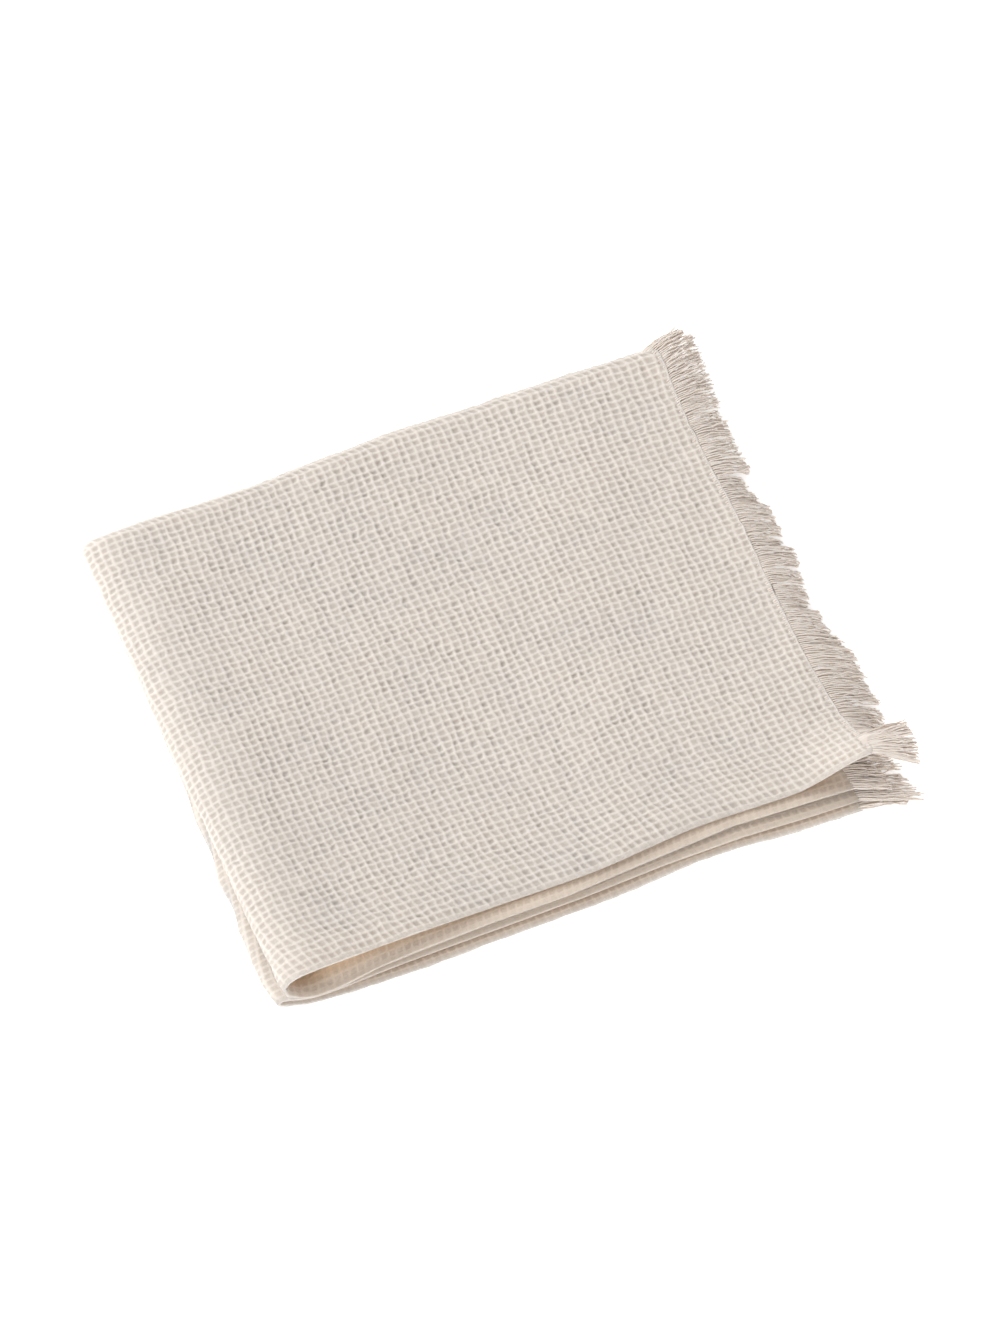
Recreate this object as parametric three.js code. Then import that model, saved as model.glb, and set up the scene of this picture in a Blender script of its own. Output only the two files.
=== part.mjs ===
// Folded waffle towel with two fringed ends, in millimetres, +Z up.
//
// The cloth is one sheet. It is folded in half across its length, which puts a fold on the
// left (-X) and both fringed ends on the right (+X). Then it is folded in half across its
// width, which puts a fold at the back (+Y) and four free selvedges at the front (-Y).
// From the top down the four layers are called t1, t2, t3 and t4. Layers t1 and t4 are the
// outer leaf and meet round the back fold. Layers t2 and t3 are the inner leaf and meet inside
// it. At the left, t1 turns into t2 and t3 turns into t4.
//
// Two numbers place a point on the folded cloth. Place b runs along the width, from -1 at the
// front of the top pair, through 0 at the back fold, to 1 at the front of the bottom pair.
// Place x runs along the length, from the left fold to the fringe.

import * as THREE from "three";

// Driving dimensions
const CLOTH_THICKNESS = 2.2;
const FRINGE_GAP = 0.35;
const BACKING_WIDTH = 2.2;
const OUTER_BULGE = 8;
const INNER_BULGE = 3.2;
const BEND_SHARE = 0.05;
const FOLD_DEPTH = { top: 13, bottom: 5, pinchAtCorner: 0.62 };

// Each row is a section at x: where the back fold turns and where each layer's front selvedge
// runs, as y.
const EDGES = [
  { x: 0, back: 251, t1: -6, t2: -10, t3: -8, t4: -7.5 },
  { x: 14, back: 251, t1: -7, t2: -12.5, t3: -11, t4: -11 },
  { x: 60, back: 250.5, t1: -3.5, t2: -8.5, t3: -9.5, t4: -13.5 },
  { x: 115, back: 252.6, t1: -1.5, t2: -7.7, t3: -9.2, t4: -13.1 },
  { x: 170, back: 254, t1: -1.5, t2: -7, t3: -8.5, t4: -12.6 },
  { x: 225, back: 252.8, t1: 3, t2: -1.5, t3: -6.5, t4: -9.6 },
  { x: 275, back: 250.8, t1: 1.5, t2: -4, t3: -9, t4: -12.7 },
  { x: 310, back: 249, t1: 0.5, t2: -6, t3: -10, t4: -13 },
];

// Each row is a section at x: the height of each layer's middle where the left fold is at its
// fullest, and the height to which t2 sinks at its front selvedge. Layer t2 buckles up under t1
// next to the fold. Layer t4 lies flat on the surface.
const HEIGHTS = [
  { x: 0, t1: 26, t2: 11.2, t2Front: 11.2, t3: 8 },
  { x: 14, t1: 28, t2: 11.2, t2Front: 9.6, t3: 6.6 },
  { x: 27, t1: 27, t2: 22.4, t2Front: 8.4, t3: 5.2 },
  { x: 45, t1: 24, t2: 19.8, t2Front: 9.2, t3: 5 },
  { x: 75, t1: 20, t2: 15.8, t2Front: 9.8, t3: 5 },
  { x: 115, t1: 16.6, t2: 12.4, t2Front: 10.4, t3: 5 },
  { x: 170, t1: 14.9, t2: 10.9, t2Front: 10.2, t3: 5 },
  { x: 225, t1: 14.2, t2: 10.3, t2Front: 9.6, t3: 5 },
  { x: 275, t1: 14.9, t2: 10.8, t2Front: 10, t3: 5 },
  { x: 310, t1: 16.4, t2: 11.6, t2Front: 10.8, t3: 5 },
];
const PRESSED_HEIGHTS = { t1: 16, t2: 11.6, t3: 5 };
const LOFT_END = 110;

// Each row is a place along the width, from q = 0 at the back fold to q = 1 at the front:
// the left fold's x in the top and the bottom pair, how full the left fold is, and the x of
// each layer's fringed end.
const WIDTHS = [
  { q: 0, foldTop: -1.6, foldBottom: 0.8, full: 0.7, t1: 303, t2: 288, t3: 286, t4: 282 },
  { q: 0.2, foldTop: -2, foldBottom: 0.2, full: 0.85, t1: 302.5, t2: 287, t3: 285, t4: 283 },
  { q: 0.45, foldTop: -2.2, foldBottom: -1, full: 0.95, t1: 305.5, t2: 289, t3: 287, t4: 286 },
  { q: 0.7, foldTop: -1.5, foldBottom: -4.2, full: 1, t1: 306.5, t2: 293, t3: 292, t4: 291 },
  { q: 0.88, foldTop: -0.6, foldBottom: -5.2, full: 1, t1: 310.5, t2: 299, t3: 299, t4: 299 },
  { q: 0.95, foldTop: -0.2, foldBottom: -5.2, full: 1, t1: 313.6, t2: 301.3, t3: 302, t4: 302 },
  { q: 1, foldTop: 0, foldBottom: -2.6, full: 1, t1: 316, t2: 303, t3: 304, t4: 304 },
];

// Soft waves left by washing and handling, each a sine wave across the cloth.
const WAVES = [
  { height: 0.55, acrossX: 118, acrossWidth: 1.6, shift: 0.4 },
  { height: 0.45, acrossX: -290, acrossWidth: 0.38, shift: 1.9 },
];
const WAVES_START = { fromX: 30, overX: 60 };
const CORNER_LIFT = { height: 14, fromX: 272, overX: 44, fromQ: 0.84 };
const SELVEDGE_ROLL = { drop: 1.6, fromQ: 0.965 };
const SELVEDGE_SINK = { fromQ: 0.93 };

// Each row is one fringed edge: its leaf, the ends of its backing as b, how long its locks are,
// which column of the next table they lean by, and how high the middle of their tips lies. A
// tip of 0 is a lock that lies level on the surface.
const FRINGES = [
  { name: "fringe_top", leaf: 1, from: -1, to: -0.012, long: 29, leans: "top", tip: 1.6 },
  { name: "fringe_second", leaf: -1, from: -1, to: -0.03, long: 23, leans: "others", tip: 7 },
  { name: "fringe_third", leaf: -1, from: 0.03, to: 1, long: 30, leans: "others", tip: 3.1 },
  { name: "fringe_bottom", leaf: 1, from: 0.03, to: 1, long: 23, leans: "others", tip: 0 },
];
const LOCKS_PER_EDGE = 48;
const LOCK = { share: 0.64, steps: 3, taper: 0.45, droop: 1.7, leastReach: 0.6 };
const UNEVEN_LOCKS = { length: 0.16, lean: 3 };
const ACROSS_STEP = 0.004;

// Each row is a place along the width: how far the locks of the top fringe and of the others
// lean to the front, in degrees, what share of their full length they have there, and how much
// higher than elsewhere the top fringe's tips end.
const LEANS = [
  { q: 0, top: -22, others: 6, topShare: 0.95, othersShare: 0.8, raise: 4 },
  { q: 0.12, top: -12, others: 3, topShare: 0.88, othersShare: 0.8, raise: 2 },
  { q: 0.4, top: -1, others: 1, topShare: 0.84, othersShare: 0.78, raise: 0.4 },
  { q: 0.7, top: 3, others: 3, topShare: 1, othersShare: 0.76, raise: 0 },
  { q: 0.82, top: 4, others: 5, topShare: 1.05, othersShare: 0.76, raise: 0 },
  { q: 0.9, top: 5, others: 7, topShare: 1, othersShare: 0.8, raise: 1 },
  { q: 0.93, top: 5, others: 9, topShare: 0.97, othersShare: 0.87, raise: 3 },
  { q: 0.96, top: -2, others: 12.5, topShare: 0.8, othersShare: 0.95, raise: 24 },
  { q: 1, top: 36, others: 20, topShare: 0.9, othersShare: 1, raise: 27 },
];

// Where the mesh has its lines: along the width from front to back as q, across each back
// fold's turn, round each left fold, and as shares of the way from there to the fringed end.
const WIDTH_LINES = [1, 0.982, 0.96, 0.92, 0.87, 0.8, 0.7, 0.58, 0.46, 0.34, 0.22, 0.11, 0.04];
const TURN_LINES = 8;
const FOLD_LINES = 5;
const LENGTH_LINES = [
  0.014, 0.028, 0.042, 0.056, 0.076, 0.11, 0.165, 0.24, 0.33, 0.43, 0.535, 0.64, 0.735, 0.815, 0.88,
  0.94, 0.985, 1,
];

const clamp01 = (t) => Math.min(1, Math.max(0, t));
const ease = (t) => clamp01(t) ** 2 * (3 - 2 * clamp01(t));
const mix = (a, b, t) => a + (b - a) * t;

// A column's value between a table's rows, on a smooth curve through them.
function read(table, key, column, value) {
  const last = table.length - 1;
  const at = Math.min(table[last][key], Math.max(table[0][key], value));
  let i = 0;
  while (i < last - 1 && at > table[i + 1][key]) i += 1;
  const slope = (k) => {
    const before = table[Math.max(0, k - 1)];
    const after = table[Math.min(last, k + 1)];
    return (after[column] - before[column]) / (after[key] - before[key]);
  };
  const span = table[i + 1][key] - table[i][key];
  const t = (at - table[i][key]) / span;
  const rise = table[i + 1][column] - table[i][column];
  const leave = slope(i) * span - rise;
  const arrive = rise - slope(i + 1) * span;
  return table[i][column] + rise * t + t * (1 - t) * (leave * (1 - t) + arrive * t);
}

// How far place b is from the back fold (0) to the front (1), how far round the back fold it
// is, in radians, and how much of it belongs to the bottom pair.
function placeOf(b) {
  const q = Math.max(0, (Math.abs(b) - BEND_SHARE) / (1 - BEND_SHARE));
  const turn = Math.PI * clamp01((b + BEND_SHARE) / (2 * BEND_SHARE));
  return { q, turn, bottom: ease(turn / Math.PI) };
}

// The height of a layer's middle.
function height(layer, x, q) {
  if (layer === "t4") return CLOTH_THICKNESS / 2;
  const full = mix(read(WIDTHS, "q", "full", q), 1, ease(x / LOFT_END));
  let z = mix(PRESSED_HEIGHTS[layer], read(HEIGHTS, "x", layer, x), full);
  if (layer === "t3") return z;
  for (const wave of WAVES) {
    const phase = (x / wave.acrossX + q / wave.acrossWidth) * 2 * Math.PI + wave.shift;
    z += wave.height * Math.sin(phase) * ease((x - WAVES_START.fromX) / WAVES_START.overX);
  }
  if (layer === "t2") return mix(z, read(HEIGHTS, "x", "t2Front", x), nearFront(q, SELVEDGE_SINK));
  const corner = ease((x - CORNER_LIFT.fromX) / CORNER_LIFT.overX);
  const lift = CORNER_LIFT.height * corner * nearFront(q, CORNER_LIFT);
  return z + lift - SELVEDGE_ROLL.drop * (1 - corner) * nearFront(q, SELVEDGE_ROLL);
}

// From 0 at the place where an effect at the front selvedge starts, to 1 at the selvedge.
function nearFront(q, { fromQ }) {
  return ease((q - fromQ) / (1 - fromQ));
}

// A point on the middle of the outer leaf (1) or the inner leaf (-1).
function leafPoint(leaf, b, x) {
  const { q, turn } = placeOf(b);
  const [upper, lower] = leaf > 0 ? ["t1", "t4"] : ["t2", "t3"];
  const back = read(EDGES, "x", "back", x);
  if (q > 0) {
    const layer = b < 0 ? upper : lower;
    return new THREE.Vector3(x, mix(back, read(EDGES, "x", layer, x), q), height(layer, x, q));
  }
  const top = height(upper, x, 0);
  const bottom = height(lower, x, 0);
  const bulge = leaf > 0 ? OUTER_BULGE : INNER_BULGE;
  const z = (top + bottom) / 2 + (top - bottom) / 2 * Math.cos(turn);
  return new THREE.Vector3(x, back + bulge * Math.sin(turn), z);
}

// The x of a leaf's fringed end.
function fringedEnd(leaf, b) {
  const { q, bottom } = placeOf(b);
  const [upper, lower] = leaf > 0 ? ["t1", "t4"] : ["t2", "t3"];
  return mix(read(WIDTHS, "q", upper, q), read(WIDTHS, "q", lower, q), bottom);
}

// The middle of the cloth along its length at place b: one fringed end, the outer leaf, round
// the left fold, the inner leaf and the other fringed end.
function lengthwisePoints(b) {
  const { q, turn, bottom } = placeOf(b);
  const fold = mix(read(WIDTHS, "q", "foldTop", q), read(WIDTHS, "q", "foldBottom", q), bottom);
  const pinch = 1 - FOLD_DEPTH.pinchAtCorner * Math.sin(turn);
  const depth = mix(FOLD_DEPTH.top, FOLD_DEPTH.bottom, bottom) * pinch;
  const straight = (leaf) => {
    const end = fringedEnd(leaf, b);
    return LENGTH_LINES.map((share) => leafPoint(leaf, b, mix(fold + depth, end, share)));
  };
  const round = (leaf, step) => {
    const angle = step / FOLD_LINES * Math.PI / 2;
    const x = fold + depth * (1 - Math.cos(angle));
    const outer = leafPoint(1, b, x);
    const inner = leafPoint(-1, b, x);
    return inner.clone().lerp(outer, (1 + leaf * Math.sin(angle)) / 2);
  };
  const points = straight(1).reverse();
  for (let step = FOLD_LINES; step >= 0; step -= 1) points.push(round(1, step));
  for (let step = 1; step <= FOLD_LINES; step += 1) points.push(round(-1, step));
  return [...points, ...straight(-1)];
}

// Places b from the front of the top pair round to the front of the bottom pair.
function widthwisePlaces() {
  const flat = WIDTH_LINES.map((q) => BEND_SHARE + (1 - BEND_SHARE) * q);
  const places = flat.map((b) => -b);
  for (let step = 0; step <= TURN_LINES; step += 1) {
    places.push(mix(-BEND_SHARE, BEND_SHARE, step / TURN_LINES));
  }
  return [...places, ...flat.reverse()];
}

function geometryFrom(points, faces) {
  const geometry = new THREE.BufferGeometry();
  const numbers = points.flatMap((point) => [point.x, point.y, point.z]);
  geometry.setAttribute("position", new THREE.Float32BufferAttribute(numbers, 3));
  geometry.setIndex(faces.flatMap(([a, b, c, d]) => [a, b, c, a, c, d]));
  geometry.computeVertexNormals();
  return geometry;
}

// The direction square to a grid of points at row i and column j.
function normalAt(grid, i, j) {
  const lastRow = grid.length - 1;
  const lastColumn = grid[0].length - 1;
  const along = grid[Math.min(lastRow, i + 1)][j].clone().sub(grid[Math.max(0, i - 1)][j]);
  const across = grid[i][Math.min(lastColumn, j + 1)].clone().sub(grid[i][Math.max(0, j - 1)]);
  return across.cross(along).normalize();
}

// A closed sheet of even thickness with a grid of points as its middle.
function sheetGeometry(grid, thickness) {
  const rows = grid.length;
  const columns = grid[0].length;
  const points = [];
  for (const side of [0.5, -0.5]) {
    for (let i = 0; i < rows; i += 1) {
      for (let j = 0; j < columns; j += 1) {
        points.push(grid[i][j].clone().addScaledVector(normalAt(grid, i, j), side * thickness));
      }
    }
  }
  const front = (i, j) => i * columns + j;
  const rear = (i, j) => rows * columns + i * columns + j;
  const faces = [];
  for (let i = 0; i < rows - 1; i += 1) {
    for (let j = 0; j < columns - 1; j += 1) {
      faces.push([front(i, j), front(i, j + 1), front(i + 1, j + 1), front(i + 1, j)]);
      faces.push([rear(i, j), rear(i + 1, j), rear(i + 1, j + 1), rear(i, j + 1)]);
    }
  }
  for (let i = 0; i < rows - 1; i += 1) {
    const j = columns - 1;
    faces.push([front(i, 0), front(i + 1, 0), rear(i + 1, 0), rear(i, 0)]);
    faces.push([front(i, j), rear(i, j), rear(i + 1, j), front(i + 1, j)]);
  }
  for (let j = 0; j < columns - 1; j += 1) {
    const i = rows - 1;
    faces.push([front(0, j), rear(0, j), rear(0, j + 1), front(0, j + 1)]);
    faces.push([front(i, j), front(i, j + 1), rear(i, j + 1), rear(i, j)]);
  }
  return geometryFrom(points, faces);
}

// An uneven number from -1 to 1 for each lock, the same at every build.
function uneven(lock) {
  return Math.sin(lock * 2.4) * 0.6 + Math.sin(lock * 0.71 + 1.3) * 0.4;
}

// A fringed edge: a backing strip beside the cloth's end, with tapering locks that grow out of
// its far face.
function fringeGeometry({ leaf, from, to, long, leans, tip }) {
  const points = [];
  const faces = [];
  const half = CLOTH_THICKNESS / 2;
  const addSection = (corners) => {
    points.push(...corners);
    return [points.length - 4, points.length - 3, points.length - 2, points.length - 1];
  };
  const cornersAt = (b) => {
    const end = fringedEnd(leaf, b) + FRINGE_GAP;
    const near = leafPoint(leaf, b, end);
    const far = leafPoint(leaf, b, end + BACKING_WIDTH);
    const across = leafPoint(leaf, b + ACROSS_STEP, end).sub(leafPoint(leaf, b - ACROSS_STEP, end));
    const up = across.cross(far.clone().sub(near)).normalize().multiplyScalar(half);
    return [near.clone().add(up), near.clone().sub(up), far.clone().sub(up), far.clone().add(up)];
  };
  const addLock = (root, b, number) => {
    const { q } = placeOf(b);
    const middle = root.reduce((sum, k) => sum.add(points[k]), new THREE.Vector3()).divideScalar(4);
    const corners = root.map((k) => points[k].clone().sub(middle));
    const degrees = read(LEANS, "q", leans, q) + UNEVEN_LOCKS.lean * uneven(number + 5);
    const lean = THREE.MathUtils.degToRad(degrees);
    const share = read(LEANS, "q", leans + "Share", q);
    const length = long * share * (1 + UNEVEN_LOCKS.length * uneven(number));
    const raise = leans === "top" ? read(LEANS, "q", "raise", q) : 0;
    const tipHeight = tip + raise + (tip > 0 ? 0 : half * LOCK.taper);
    const drop = middle.z - tipHeight;
    const reach = Math.sqrt(Math.max(length ** 2 - drop ** 2, (LOCK.leastReach * length) ** 2));
    let before = root;
    for (let step = 1; step <= LOCK.steps; step += 1) {
      const t = step / LOCK.steps;
      const size = mix(1, LOCK.taper, t);
      const fall = drop * t ** LOCK.droop;
      const centre = new THREE.Vector3(
        middle.x + reach * t * Math.cos(lean),
        middle.y - reach * t * Math.sin(lean),
        middle.z - fall,
      );
      const section = corners.map((corner) => corner.clone().multiplyScalar(size).add(centre));
      if (tip === 0) {
        const lowest = Math.min(...section.map((corner) => corner.z));
        section.forEach((corner) => { corner.z -= Math.min(0, lowest); });
      }
      const ring = addSection(section);
      for (let k = 0; k < 4; k += 1) {
        const next = (k + 1) % 4;
        faces.push([before[k], before[next], ring[next], ring[k]]);
      }
      before = ring;
    }
    faces.push(before);
  };
  const pitch = (to - from) / LOCKS_PER_EDGE;
  const lockWidth = pitch * LOCK.share;
  let before = null;
  for (let number = 0; number < LOCKS_PER_EDGE; number += 1) {
    const start = from + pitch * number + (pitch - lockWidth) / 2;
    const places = number === 0 ? [from, start, start + lockWidth] : [start, start + lockWidth];
    for (const b of places) {
      const section = addSection(cornersAt(b));
      if (before) joinSections(faces, before, section, b === start + lockWidth);
      else faces.push([...section].reverse());
      if (b === start + lockWidth) addLock([before[2], before[3], section[3], section[2]], b, number);
      before = section;
    }
  }
  const last = addSection(cornersAt(to));
  joinSections(faces, before, last, false);
  faces.push(last);
  return geometryFrom(points, faces);
}

// The faces between two sections of a backing strip. Its far face is open where a lock grows.
function joinSections(faces, before, after, lock) {
  for (let k = 0; k < 4; k += 1) {
    const next = (k + 1) % 4;
    if (!(lock && k === 2)) faces.push([before[k], before[next], after[next], after[k]]);
  }
}

function material(color) {
  return new THREE.MeshStandardMaterial({ color, roughness: 0.95, metalness: 0 });
}

function towel() {
  const grid = widthwisePlaces().map((b) => lengthwisePoints(b));
  const mesh = new THREE.Mesh(sheetGeometry(grid, CLOTH_THICKNESS), material("#e3d9cc"));
  mesh.name = "towel";
  return mesh;
}

function fringe(edge) {
  const mesh = new THREE.Mesh(fringeGeometry(edge), material("#d9cfc1"));
  mesh.name = edge.name;
  return mesh;
}

const part = new THREE.Group();
part.add(towel(), ...FRINGES.map(fringe));

// The origin is the middle of the base.
const box = new THREE.Box3().setFromObject(part);
const middle = box.getCenter(new THREE.Vector3());
part.position.set(-middle.x, -middle.y, -box.min.z);

export default part;
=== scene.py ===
# %% [markdown]
# # A folded waffle towel
# This notebook dresses the CAD model of a cotton towel. The cloth is one sheet, folded in half
# twice, with a waffle weave and a fringe at both ends. Blender works in metres, and the CAD
# tables are in millimetres, so one number turns one into the other. The frame comes first,
# because every piece below goes where the CAD says.

# %% The frame
import math
import bpy
import numpy as np
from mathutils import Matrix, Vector


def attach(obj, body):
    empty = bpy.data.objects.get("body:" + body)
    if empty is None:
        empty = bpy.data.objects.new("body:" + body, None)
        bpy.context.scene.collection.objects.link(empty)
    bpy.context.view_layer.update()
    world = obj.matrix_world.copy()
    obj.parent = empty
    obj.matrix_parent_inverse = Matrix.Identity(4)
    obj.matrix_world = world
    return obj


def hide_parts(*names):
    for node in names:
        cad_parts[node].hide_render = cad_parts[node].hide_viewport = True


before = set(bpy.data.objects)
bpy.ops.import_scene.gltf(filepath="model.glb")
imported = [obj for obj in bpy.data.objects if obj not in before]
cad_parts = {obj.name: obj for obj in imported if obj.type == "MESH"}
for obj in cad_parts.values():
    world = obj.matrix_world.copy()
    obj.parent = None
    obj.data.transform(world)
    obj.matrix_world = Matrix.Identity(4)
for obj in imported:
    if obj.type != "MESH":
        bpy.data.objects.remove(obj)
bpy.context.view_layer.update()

MM = 0.001

# %% [markdown]
# ## The camera
# The photograph looks down on the towel from its front left, from far away, so that parallel
# edges stay almost parallel. A long lens at a distance does the same. The frame is as high as
# the photograph: 1333 pixels at about two pixels for each millimetre.

# %% Camera
VIEW_TURN = math.radians(-21.85)
VIEW_ELEVATION = math.radians(63)
PIXELS_PER_MM = 2.03
PHOTO_HEIGHT = 1333
SENSOR_HEIGHT = 36.0
DISTANCE = 16.0
AIM = Vector((-2.0, -1.9, 10)) * MM

back = Vector((
    math.sin(VIEW_TURN) * math.cos(VIEW_ELEVATION),
    -math.cos(VIEW_TURN) * math.cos(VIEW_ELEVATION),
    math.sin(VIEW_ELEVATION),
))
frame_height = PHOTO_HEIGHT / PIXELS_PER_MM * MM
camera_data = bpy.data.cameras.new("camera")
camera_data.sensor_width = SENSOR_HEIGHT
camera_data.sensor_height = SENSOR_HEIGHT
camera_data.lens = SENSOR_HEIGHT * DISTANCE / frame_height
camera = bpy.data.objects.new("camera", camera_data)
camera.location = AIM + back * DISTANCE
camera.rotation_euler = (-back).to_track_quat("-Z", "Y").to_euler()
bpy.context.collection.objects.link(camera)
bpy.context.scene.camera = camera
print("lens in mm:", round(camera_data.lens))

# %% [markdown]
# ## The fold
# The towel's shape is a rule and a few short tables, the same as in the CAD source. Place b runs
# along the width, from -1 at the front of the top pair of layers, through 0 at the back fold, to
# 1 at the front of the bottom pair. Place x runs along the length, from the left fold to the
# fringe. The layers are t1 to t4 from the top down.

# %% Tables of the fold, in millimetres
CLOTH_THICKNESS = 2.2
OUTER_BULGE = 8
INNER_BULGE = 3.2
BEND_SHARE = 0.05
FOLD_DEPTH = {"top": 13, "bottom": 5, "pinch_at_corner": 0.62}

EDGES = {
    "x": [0, 14, 60, 115, 170, 225, 275, 310],
    "back": [251, 251, 250.5, 252.6, 254, 252.8, 250.8, 249],
    "t1": [-6, -7, -3.5, -1.5, -1.5, 3, 1.5, 0.5],
    "t2": [-10, -12.5, -8.5, -7.7, -7, -1.5, -4, -6],
    "t3": [-8, -11, -9.5, -9.2, -8.5, -6.5, -9, -10],
    "t4": [-7.5, -11, -13.5, -13.1, -12.6, -9.6, -12.7, -13],
}
HEIGHTS = {
    "x": [0, 14, 27, 45, 75, 115, 170, 225, 275, 310],
    "t1": [26, 28, 27, 24, 20, 16.6, 14.9, 14.2, 14.9, 16.4],
    "t2": [11.2, 11.2, 22.4, 19.8, 15.8, 12.4, 10.9, 10.3, 10.8, 11.6],
    "t2_front": [11.2, 9.6, 8.4, 9.2, 9.8, 10.4, 10.2, 9.6, 10, 10.8],
    "t3": [8, 6.6, 5.2, 5, 5, 5, 5, 5, 5, 5],
}
PRESSED_HEIGHTS = {"t1": 16, "t2": 11.6, "t3": 5}
LOFT_END = 110
WIDTHS = {
    "q": [0, 0.2, 0.45, 0.7, 0.88, 0.95, 1],
    "fold_top": [-1.6, -2, -2.2, -1.5, -0.6, -0.2, 0],
    "fold_bottom": [0.8, 0.2, -1, -4.2, -5.2, -5.2, -2.6],
    "full": [0.7, 0.85, 0.95, 1, 1, 1, 1],
    "t1": [303, 302.5, 305.5, 306.5, 310.5, 313.6, 316],
    "t2": [288, 287, 289, 293, 299, 301.3, 303],
    "t3": [286, 285, 287, 292, 299, 302, 304],
    "t4": [282, 283, 286, 291, 299, 302, 304],
}
WAVES = [
    {"height": 0.55, "across_x": 118, "across_width": 1.6, "shift": 0.4},
    {"height": 0.45, "across_x": -290, "across_width": 0.38, "shift": 1.9},
]
WAVES_START = {"from_x": 30, "over_x": 60}
CORNER_LIFT = {"height": 14, "from_x": 272, "over_x": 44, "from_q": 0.84}
SELVEDGE_ROLL = {"drop": 1.6, "from_q": 0.965}
SELVEDGE_SINK = {"from_q": 0.93}
PART_ORIGIN = np.array([168.3066, 124.1118, 0])
print("sections along the cloth:", len(EDGES["x"]), "and across it:", len(WIDTHS["q"]))

# %% [markdown]
# A short function reads a table with a smooth curve through its rows. It takes whole arrays, so
# that one call gives a column for every point of the cloth.

# %% Reading the tables
def ease(t):
    t = np.clip(t, 0, 1)
    return t ** 2 * (3 - 2 * t)


def mix(a, b, t):
    return a + (b - a) * t


def read(table, key, column, at):
    keys = np.array(table[key], float)
    values = np.array(table[column], float)
    at = np.clip(at, keys[0], keys[-1])
    i = np.searchsorted(keys[1:-1], at)
    before = np.maximum(np.arange(len(keys)) - 1, 0)
    after = np.minimum(np.arange(len(keys)) + 1, len(keys) - 1)
    slopes = (values[after] - values[before]) / (keys[after] - keys[before])
    span = keys[i + 1] - keys[i]
    t = (at - keys[i]) / span
    rise = values[i + 1] - values[i]
    leave = slopes[i] * span - rise
    arrive = rise - slopes[i + 1] * span
    return values[i] + rise * t + t * (1 - t) * (leave * (1 - t) + arrive * t)


def near_front(q, effect):
    return ease((q - effect["from_q"]) / (1 - effect["from_q"]))


def height(layer, x, q):
    if layer == "t4":
        return np.full(np.shape(x), CLOTH_THICKNESS / 2)
    full = mix(read(WIDTHS, "q", "full", q), 1, ease(x / LOFT_END))
    z = mix(PRESSED_HEIGHTS[layer], read(HEIGHTS, "x", layer, x), full)
    if layer == "t3":
        return z
    for wave in WAVES:
        phase = (x / wave["across_x"] + q / wave["across_width"]) * 2 * np.pi + wave["shift"]
        start = ease((x - WAVES_START["from_x"]) / WAVES_START["over_x"])
        z = z + wave["height"] * np.sin(phase) * start
    if layer == "t2":
        return mix(z, read(HEIGHTS, "x", "t2_front", x), near_front(q, SELVEDGE_SINK))
    corner = ease((x - CORNER_LIFT["from_x"]) / CORNER_LIFT["over_x"])
    lift = CORNER_LIFT["height"] * corner * near_front(q, CORNER_LIFT)
    return z + lift - SELVEDGE_ROLL["drop"] * (1 - corner) * near_front(q, SELVEDGE_ROLL)


print("height of the top layer at its middle:", round(float(height("t1", np.array(150.0), 0.5)), 1), "mm")

# %% [markdown]
# The outer leaf is layers t1 and t4, which meet round the back fold. The inner leaf is t2 and
# t3, which meet inside it. A leaf's point follows from b and x alone.

# %% Points on the leaves
def place_of(b):
    q = np.maximum(0, (np.abs(b) - BEND_SHARE) / (1 - BEND_SHARE))
    turn = np.pi * np.clip((b + BEND_SHARE) / (2 * BEND_SHARE), 0, 1)
    return q, turn, ease(turn / np.pi)


def layers_of(leaf):
    return ("t1", "t4") if leaf > 0 else ("t2", "t3")


def leaf_points(leaf, b, x):
    b, x = np.broadcast_arrays(np.asarray(b, float), np.asarray(x, float))
    q, turn, _ = place_of(b)
    upper, lower = layers_of(leaf)
    top = height(upper, x, q)
    bottom = height(lower, x, q)
    front = np.where(b < 0, read(EDGES, "x", upper, x), read(EDGES, "x", lower, x))
    bulge = OUTER_BULGE if leaf > 0 else INNER_BULGE
    y = mix(read(EDGES, "x", "back", x), front, q) + bulge * np.sin(turn)
    z = (top + bottom) / 2 + (top - bottom) / 2 * np.cos(turn)
    return np.stack([x, y, z], axis=-1)


def fringed_end(leaf, b):
    q, _, bottom = place_of(b)
    upper, lower = layers_of(leaf)
    return mix(read(WIDTHS, "q", upper, q), read(WIDTHS, "q", lower, q), bottom)


print("the back fold reaches y =", leaf_points(1, 0, 150)[1].round(1), "mm")

# %% [markdown]
# A path follows the middle of the cloth at one place b: from the fringed end of the outer leaf
# round the left fold to the fringed end of the inner leaf. Walking along it finds the points at
# given distances, so that the cells keep their size round the folds.

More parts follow.
